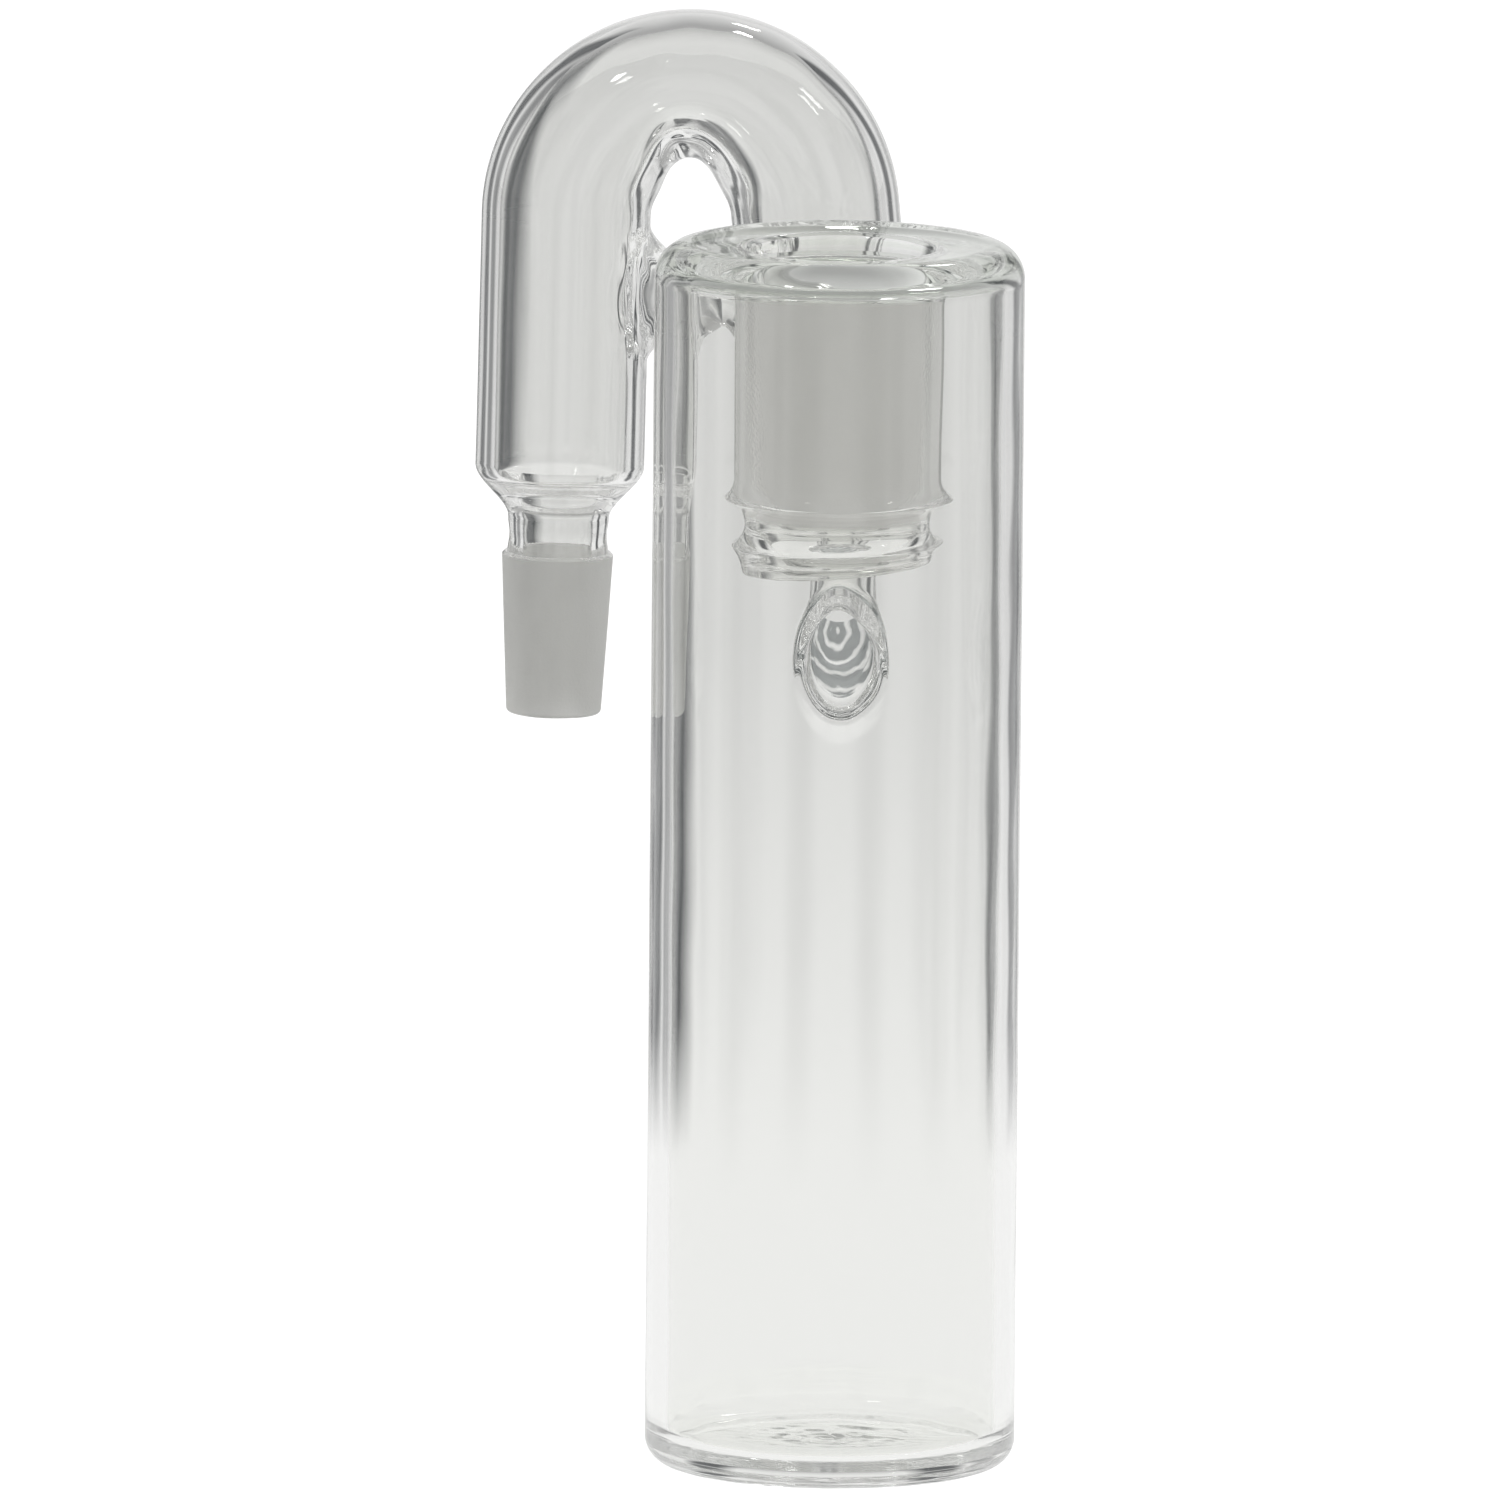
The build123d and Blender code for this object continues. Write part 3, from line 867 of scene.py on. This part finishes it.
def takeoff_weld():
    """A collar drawn out of the wall: it leaves the wall squarely and then turns up the tube."""
    piece = Piece("takeoff_weld", ground=painted_shade_rings_glass())
    turn = np.arange(WELD_N) / WELD_N * TAU
    around = np.cos(turn)[:, None] * TAKEOFF_U + np.sin(turn)[:, None] * TAKEOFF_V
    low_side = (0.5 - 0.5 * np.sin(turn))[:, None]
    rise = np.tile(TAKEOFF_DIR, (len(turn), 1))
    square = np.tile(np.array([0, 1.0, 0]), (len(turn), 1))
    end = TAKEOFF_ROOT + TAKEOFF_DIR * WELD_LENGTH
    foot = takeoff_loop(BODY_R, WELD_FOOT, turn)
    ahead = takeoff_loop(BODY_R, WELD_FOOT - 1.0, turn) - foot
    foot = skin_points(WORLD, foot, 0)
    belly = takeoff_loop(BODY_R, WELD_R, turn) + square * (0.9 + POCKET * low_side)
    up = rise * (1 - low_side) + square * low_side
    top = end + around * TAKEOFF_R
    reach = np.linalg.norm(top - belly, axis=1)[:, None]
    outer = np.concatenate([hermite(foot, belly, ahead * 1.6, up * 2.0, 14),
                            hermite(belly, top, up * reach * 0.9, rise * reach * 1.1, 26)[1:]])
    throat = takeoff_loop(BODY_R, WELD_BORE, turn)
    cup = throat + square * (POCKET * low_side) * 0.8
    top = end + around * TAKEOFF_BORE
    reach = np.linalg.norm(top - cup, axis=1)[:, None]
    inner = np.concatenate([hermite(throat, cup, square * 0.8, up * 0.8, 10),
                            hermite(cup, top, up * reach * 0.9, rise * reach, 40)[1:]])
    for rows, depth, start in ((inner, DRAW_DEPTH, 0.0), (outer, 0.4 * DRAW_DEPTH, 1.4)):
        along = np.linspace(0, 1, len(rows))[:, None]
        rings = (np.sin(TAU * DRAW_RINGS * along + start)
                 * np.sin(pi * np.clip(along * 1.25, 0, 1)))
        rows += grid_normals(rows) * (depth * rings * low_side[:, 0] ** 0.7)[..., None]
    piece.grid(outer)
    # the pocket's inner skin carries the painted shade rings
    piece.grid(inner, GROUND)
    piece.strip(outer[0], inner[0])
    piece.strip(outer[-1], inner[-1])
    piece.make()


def swept(piece_name, stations, n):
    """A tube through stations of (centre, x axis, y axis, outer half sizes, bore half sizes)."""
    piece = Piece(piece_name)
    w = np.arange(n) / n * TAU
    skins = []
    for which in (3, 4):
        rows = np.array([s[0] + np.cos(w)[:, None] * s[1] * s[which][0]
                         + np.sin(w)[:, None] * s[2] * s[which][1] for s in stations])
        moved = strayed(rows, which - 3)
        if which == 4:
            moved = 2 * rows - moved
        skins.append(moved)
    return piece, skins


def close_tube(piece, skins):
    """Joins an outer and an inner skin that both run the same way."""
    out, inn = skins
    piece.grid(out)
    piece.grid(inn)
    piece.strip(out[0], inn[0])
    piece.strip(out[-1], inn[-1])
    piece.make()


def close_lathe(piece, out, inn):
    """Joins an outer skin to an inner one that runs the other way."""
    piece.grid(out)
    piece.grid(inn)
    piece.strip(out[0], inn[-1])
    piece.strip(out[-1], inn[0])
    piece.make()


def takeoff_tube():
    start = TAKEOFF_ROOT + TAKEOFF_DIR * WELD_LENGTH
    side = unit(np.cross(TAKEOFF_DIR, RISER_DIR))
    reach = ELBOW_R * tan(ELBOW_TURN / 2)
    bend_start = ELBOW - TAKEOFF_DIR * reach
    straight = np.linalg.norm(bend_start - start)
    centre = bend_start + np.cross(side, TAKEOFF_DIR) * ELBOW_R
    half = (TAKEOFF_R, TAKEOFF_R), (TAKEOFF_BORE, TAKEOFF_BORE)
    stations = []
    for t in np.linspace(0, straight, 8)[:-1]:
        stations.append((start + TAKEOFF_DIR * t, TAKEOFF_DIR))
    for turn in np.linspace(0, ELBOW_TURN, 26):
        onward = TAKEOFF_DIR * cos(turn) + np.cross(side, TAKEOFF_DIR) * sin(turn)
        stations.append((centre - np.cross(side, onward) * ELBOW_R, onward))
    for t in np.linspace(0, ELBOW_STUB, 3)[1:]:
        stations.append((ELBOW + RISER_DIR * (reach + t), RISER_DIR))
    full = [(c, side, np.cross(z, side), *half) for c, z in stations]
    close_tube(*swept("takeoff_tube", full, TAKEOFF_N))


# ---------------------------------------------------------------- the arm

def reducer(name, frame_, length, low, high, n):
    """A reducing tube up its frame's axis, from low = (outer, bore) to high."""
    t = np.linspace(0, 1, 30)
    s = t * t * (3 - 2 * t)
    skins = []
    for skin in (0, 1):
        radius = low[skin] + (high[skin] - low[skin]) * s
        skins.append(turned(frame_, np.stack([radius, t * length], axis=1), n, skin))
    close_tube(Piece(name), skins)


def drop_shoulder():
    """The leg is closed in to the neck over a thick floor, and the bore drops through that."""
    piece = Piece("drop_shoulder")
    outside = join(ogee((NECK_R, 0), (LEG_R, DROP_SHOULDER), 40), (LEG_R, DROP_SHOULDER))
    top = DROP_SHOULDER
    inside = join(arc((LEG_BORE, top), (LEG_BORE - 1.5, top - 1.3), (0, -1), 12),
                  line((LEG_BORE - 1.5, top - 1.3), (FLOOR_HOLE + 0.7, top - 1.9), 6),
                  arc((FLOOR_HOLE + 0.7, top - 1.9), (FLOOR_HOLE, top - 2.6), (-1, 0), 8),
                  line((FLOOR_HOLE, top - 2.6), (NECK_BORE, 0), 12), (NECK_BORE, 0))
    out = turned(SHOULDER_FRAME, outside, LEG_N, 0)
    inn = turned(SHOULDER_FRAME, softened(inside, 0.3), LEG_N, 1)
    close_lathe(piece, out, inn)


def roll_to(ring, other):
    """The ring started at the point nearest the other's first point."""
    near = np.argmin(np.linalg.norm(ring - other[0], axis=1))
    return np.roll(ring, -near, axis=0)


def close_patch(piece, ring):
    """Closes the seal inside a loop."""
    middle = ring.mean(axis=0)
    piece.strip(ring, np.tile(middle, (len(ring), 1)))


def wide_leg(name, frame_, start, up, length, rows, side, window_rows):
    """A straight leg, with the patch the bridge is welded to on its left (-1) or right (1)."""
    piece = Piece(name)
    heights = np.linspace(0, length, rows)
    middle = (BRIDGE_Z - start[2]) / up[2]
    facing = pi if side < 0 else 0.0
    out = TubeWindow(piece, frame_, LEG_R, heights, LEG_N, 0, facing, middle, (34, window_rows))
    loop = onto_tube(frame_, LEG_R, start + up * middle, (side, 0, 0), np.array([0, side, 0]),
                     np.array([0, 0, 1]), BRIDGE_FOOT, out.turns(facing, middle))
    close_patch(piece, out.fill(loop, 12))
    inn = turned(frame_, down(upright_line(LEG_BORE, 0, length, 1.0)), LEG_N, 1)
    piece.grid(inn)
    piece.strip(out.rows[0], roll_to(inn[-1], out.rows[0]))
    piece.strip(out.rows[-1], roll_to(inn[0], out.rows[-1]))
    piece.make()


def return_bend():
    first, last = LEAN, pi - DROP_LEAN
    stations = []
    for share in np.linspace(0, 1, 121):
        angle = first + (last - first) * share
        radial = LEG_R - CROWN_FLAT / 2 * sin(pi * share) ** CROWN_SHARP
        outward = np.array([cos(angle), 0, sin(angle)])
        centre = bend_point(angle, BEND_OUT - radial)
        wall = LEG_R - LEG_BORE
        stations.append((centre, outward, np.array([0, 1.0, 0]), (radial, LEG_R),
                         (radial - wall, LEG_R - wall)))
    piece, (out, inn) = swept("return_bend", stations, LEG_N)
    inn = crotch_fold(inn, stations)
    close_tube(piece, (out, inn))


def crotch_fold(inn, stations):
    """Inside the tight side of the bend the wall bunches up into folds, highest at an apex."""
    shares = np.linspace(0, 1, len(stations))
    for row, (share, s) in enumerate(zip(shares, stations)):
        spoke = inn[row] - s[0]
        size = np.linalg.norm(spoke, axis=1, keepdims=True)
        inward = np.clip(-(spoke / size) @ s[1], 0, 1) ** 4
        folds = 0.2 * np.sin(5 * pi * share + 2 * spoke[:, 1] / LEG_R)
        swell = sin(pi * share) ** 2 * (FOLD_DEPTH + folds)
        swell += APEX_RISE * np.exp(-((share - APEX_AT) / APEX_WIDTH) ** 2)
        inn[row] = s[0] + spoke * (1 - (inward * swell / size[:, 0])[:, None])
    return inn


def ground_cone():
    piece = Piece("ground_cone", "ground_glass", ground=CONE_GLASS)
    small = CONE_R - TAPER * CONE_LENGTH
    length = CONE_LENGTH
    tip = join(line((NECK_BORE, 0), (small - CONE_TIP, 0), 3),
               arc((small - CONE_TIP, 0), (small, CONE_TIP), (1, 0), 10))
    side = line((small, CONE_TIP), (CONE_R - TAPER * CONE_BEVEL, length - CONE_BEVEL), 30)
    bevel = join(line((CONE_R - TAPER * CONE_BEVEL, length - CONE_BEVEL),
                      (CONE_R - CONE_BEVEL, length), 3),
                 line((CONE_R - CONE_BEVEL, length), (NECK_R, length), 2), (NECK_R, length))
    outside = join(tip, side, bevel)
    out = turned(CONE_FRAME, outside, CONE_N, 0)
    inn = turned(CONE_FRAME, down(upright_line(NECK_BORE, 0, length, 0.8)), CONE_N, 1)
    inn[-1] = out[0]
    ground_end = len(tip) + len(side)
    piece.grid(out, kinds=[GROUND] * ground_end + [CLEAR] * (len(outside) - 1 - ground_end))
    piece.grid(inn)
    piece.strip(out[-1], inn[0])
    piece.make()


def cone_neck():
    piece = Piece("cone_neck")
    wall = upright_line(NECK_R, 0, NECK_LENGTH, 0.2)
    wall[:, 0] -= NECK_DRAW * np.sin(pi * wall[:, 1] / NECK_LENGTH) ** 2
    out = turned(NECK_FRAME, wall, CONE_N, 0)
    inn = turned(NECK_FRAME, down(upright_line(NECK_BORE, 0, NECK_LENGTH, 0.4)), CONE_N, 1)
    close_lathe(piece, out, inn)


def leg_bridge():
    """A rod pressed between the legs while soft, its ends spread onto their round sides."""
    piece = Piece("leg_bridge")
    turn = np.arange(BRIDGE_N) / BRIDGE_N * TAU
    u, v = np.array([0, 1.0, 0]), np.array([0, 0, 1.0])
    left_centre = np.array([BRIDGE_X[0], ARM_Y, BRIDGE_Z])
    right_centre = np.array([BRIDGE_X[1], ARM_Y, BRIDGE_Z])
    x = np.array([1.0, 0, 0])
    left = onto_tube(DROP_FRAME, LEG_R, left_centre, x, u, v, BRIDGE_FOOT, turn)
    left_in = onto_tube(DROP_FRAME, LEG_R, left_centre, x, u, v, BRIDGE_FOOT - 1, turn) - left
    right = onto_tube(RISER, LEG_R, right_centre, -x, u, v, BRIDGE_FOOT, turn)
    right_in = onto_tube(RISER, LEG_R, right_centre, -x, u, v, BRIDGE_FOOT - 1, turn) - right
    middle = (left_centre + right_centre) / 2
    ring = middle + BRIDGE_WAIST * (np.cos(turn)[:, None] * u + np.sin(turn)[:, None] * v)
    left, right = skin_points(DROP_FRAME, left, 0), skin_points(RISER, right, 0)
    go = np.tile(x * 4.5, (len(turn), 1))
    first = hermite(left, ring, left_in * 4.5, go, 24)
    second = hermite(ring, right, go, -right_in * 4.5, 24)
    rows = np.concatenate([first, second[1:]])
    inside = strayed(rows, 0)
    inside[0], inside[-1] = rows[0], rows[-1]
    piece.grid(inside)
    close_patch(piece, inside[0])
    close_patch(piece, inside[-1])
    piece.make()


flat_base()
body_tube()
top_shoulder()
ground_socket()
socket_ring()
socket_tail()
takeoff_weld()
takeoff_tube()
reducer("riser_shoulder", RISER_FOOT, RISER_SHOULDER, (TAKEOFF_R, TAKEOFF_BORE),
        (LEG_R, LEG_BORE), LEG_N)
wide_leg("riser_leg", RISER, LEG_START, RISER_DIR, RISER_LENGTH, 61, -1, 18)
return_bend()
wide_leg("drop_leg", DROP_FRAME, DROP_FOOT, DROP_UP, DROP_LENGTH, 67, 1, 20)
drop_shoulder()
cone_neck()
ground_cone()
leg_bridge()


# ---------------------------------------------------------------- stage, light and camera

def stage_mesh(name, corners, faces, mat):
    mesh = bpy.data.meshes.new(name)
    mesh.from_pydata(corners, [], faces)
    mesh.materials.append(mat)
    obj = bpy.data.objects.new(name, mesh)
    bpy.context.scene.collection.objects.link(obj)
    obj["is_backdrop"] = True
    return obj


def bare_material(name):
    """A material whose tree holds only an output."""
    mat = bpy.data.materials.new(name)
    mat.use_nodes = True
    tree = mat.node_tree
    tree.nodes.clear()
    return mat, tree, tree.nodes.new("ShaderNodeOutputMaterial")


def pale_floor():
    """A bright floor. Seen through glass it is a shade greyer, and greyer still away from the
    object: a painted pool of light, brightest near the object.
    """
    mat, tree, out = bare_material("pale_floor")
    diffuse = tree.nodes.new("ShaderNodeBsdfDiffuse")
    tree.links.new(diffuse.outputs[0], out.inputs["Surface"])
    path = tree.nodes.new("ShaderNodeLightPath")
    spot = tree.nodes.new("ShaderNodeTexCoord")
    away = new_node(tree, "ShaderNodeVectorMath", (spot.outputs["Object"],),
                    operation="LENGTH")
    # painted light: a pool brighter near the object, fading away from it
    grey = ramp(tree, away.outputs["Value"], FLOOR_PAINTED_LIGHT_NEAR, FLOOR_PAINTED_LIGHT_FAR, (0.25, 0.70))
    pick = new_node(tree, "ShaderNodeMix", data_type="FLOAT")
    tree.links.new(path.outputs["Is Camera Ray"], pick.inputs["Factor"])
    tree.links.new(grey, pick.inputs["A"])
    pick.inputs["B"].default_value = FLOOR_WHITE
    tree.links.new(pick.outputs["Result"], diffuse.inputs["Color"])
    return mat


FLOOR = 40.0
FLOOR_Z = -0.0002
FLOOR_WHITE = 0.99
# painted light: the floor's brightness near and far from the object, as the glass sees it
FLOOR_PAINTED_LIGHT_NEAR, FLOOR_PAINTED_LIGHT_FAR = 0.80, 0.66
FLOOR_CORNERS = [(x * FLOOR, y * FLOOR, FLOOR_Z) for x, y in ((-1, -1), (1, -1), (1, 1), (-1, 1))]
stage_mesh("floor", FLOOR_CORNERS, [(0, 1, 2, 3)], pale_floor())


def pale_room():
    """A white room to the camera and the floor. The glass sees its walls shade up to a dark
    ceiling with lamps in it."""
    world = bpy.data.worlds.new("pale_room")
    world.use_nodes = True
    tree = world.node_tree
    sky = tree.nodes["Background"]
    path = tree.nodes.new("ShaderNodeLightPath")
    spot = tree.nodes.new("ShaderNodeTexCoord")
    split = tree.nodes.new("ShaderNodeSeparateXYZ")
    tree.links.new(spot.outputs["Generated"], split.inputs[0])
    shade = ramp(tree, split.outputs["Z"], WALLS, CEILING, (0.12, 0.62))
    seen = new_node(tree, "ShaderNodeMath",
                    (path.outputs["Is Camera Ray"], path.outputs["Is Diffuse Ray"]),
                    operation="MAXIMUM")
    pick = new_node(tree, "ShaderNodeMix", data_type="FLOAT")
    tree.links.new(seen.outputs[0], pick.inputs["Factor"])
    tree.links.new(shade, pick.inputs["A"])
    pick.inputs["B"].default_value = ROOM_LIGHT
    tree.links.new(pick.outputs["Result"], sky.inputs["Strength"])
    sky.inputs["Color"].default_value = (1, 1, 1, 1)
    return world


WALLS, CEILING, ROOM_LIGHT = 0.80, 0.40, 1.12
bpy.context.scene.world = pale_room()


def card_material():
    """Dark in the middle of a card, fading to nothing at its sides and foot."""
    mat, tree, out = bare_material("dark_card")
    clear = tree.nodes.new("ShaderNodeBsdfTransparent")
    dark = tree.nodes.new("ShaderNodeEmission")
    dark.inputs["Color"].default_value = (0.05, 0.055, 0.06, 1)
    mixer = tree.nodes.new("ShaderNodeMixShader")
    tree.links.new(clear.outputs[0], mixer.inputs[1])
    tree.links.new(dark.outputs[0], mixer.inputs[2])
    tree.links.new(mixer.outputs[0], out.inputs["Surface"])
    spot = tree.nodes.new("ShaderNodeTexCoord")
    split = tree.nodes.new("ShaderNodeSeparateXYZ")
    tree.links.new(spot.outputs["Object"], split.inputs[0])
    side = new_node(tree, "ShaderNodeMath", (split.outputs["X"],), operation="ABSOLUTE")
    band = ramp(tree, side.outputs[0], 1.0, 0.0, (0.4, 1.0))
    rise = ramp(tree, split.outputs["Z"], 0.0, 1.0, (0.0, 0.06))
    both = new_node(tree, "ShaderNodeMath", (band, rise), operation="MULTIPLY")
    strength = tree.nodes.new("ShaderNodeObjectInfo")
    darkness = new_node(tree, "ShaderNodeMath", (both.outputs[0], strength.outputs["Alpha"]),
                        operation="MULTIPLY")
    tree.links.new(darkness.outputs[0], mixer.inputs["Fac"])
    return mat


def dark_card(mat, azimuth, half_width, darkness):
    """A card out of the camera's sight, which gives clear glass its dark edges."""
    corners = [(-1, 0, 0), (1, 0, 0), (1, 0, 1), (-1, 0, 1)]
    card = stage_mesh("dark_card", corners, [(0, 1, 2, 3)], mat)
    a = radians(azimuth)
    card.location = (CARD_R * sin(a), CARD_R * cos(a), 0.0)
    card.rotation_euler = (0, 0, -a)
    card.scale = (CARD_R * tan(radians(half_width)), 1, CARD_TOP)
    card.color = (1, 1, 1, darkness)
    card.visible_camera = False
    card.visible_diffuse = False
    card.visible_shadow = False


CARD_R, CARD_TOP = 0.25, 0.30
# azimuth from behind the object and half width, in degrees, and darkness
CARDS = ((-23.5, 9.5, 0.95), (-42.0, 9.0, 0.6), (27.0, 9.0, 0.95),
         (-66.0, 9.0, 1.0), (66.0, 9.0, 1.0), (-114.0, 9.0, 1.0), (114.0, 9.0, 1.0),
         (-157.0, 10.0, 0.7), (157.0, 10.0, 0.7))
card_glass = card_material()
for azimuth, half_width, darkness in CARDS:
    dark_card(card_glass, azimuth, half_width, darkness)


LIGHT_AIM = (0, 0, 0.1)


def softbox(name, where, width, height, power):
    light = bpy.data.lights.new(name, "AREA")
    light.shape = "RECTANGLE"
    light.size, light.size_y = width, height
    light.energy = power
    obj = bpy.data.objects.new(name, light)
    bpy.context.scene.collection.objects.link(obj)
    obj.location = where
    aim = Vector(LIGHT_AIM) - Vector(where)
    obj.rotation_mode = "QUATERNION"
    obj.rotation_quaternion = aim.to_track_quat("-Z", "Y")
    return obj


softbox("key_light", (-0.9, -1.1, 1.5), 0.16, 0.20, 2.2)
softbox("fill_light", (1.2, -0.5, 1.2), 0.12, 0.28, 1.0)
softbox("back_light", (0.4, 1.3, 1.4), 0.20, 0.12, 1.0)

low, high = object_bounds()
camera = bpy.data.cameras.new("camera")
camera.sensor_width = 36.0
eye = bpy.data.objects.new("camera", camera)
bpy.context.scene.collection.objects.link(eye)
bpy.context.scene.camera = eye
DISTANCE = 7.0
TILT, ROLL = radians(9.0), radians(0.5)
FRAME_WIDTH = 0.1943
aim = Vector((-0.0111, 0.0, 0.0934))
back = Vector((0, -cos(TILT), sin(TILT)))
eye.location = aim + back * DISTANCE
eye.rotation_mode = "QUATERNION"
eye.rotation_quaternion = (back.to_track_quat("Z", "Y")
                           @ Matrix.Rotation(ROLL, 3, "Z").to_quaternion())
camera.lens = camera.sensor_width * DISTANCE / FRAME_WIDTH
camera.clip_start, camera.clip_end = 0.05, 100

scene = bpy.context.scene
scene.view_settings.view_transform = "Standard"
# light caught in the walls goes black if it is cut off early
BOUNCES = 160
scene.cycles.max_bounces = BOUNCES
scene.cycles.transmission_bounces = BOUNCES
scene.cycles.glossy_bounces = BOUNCES
scene.cycles.transparent_max_bounces = 64
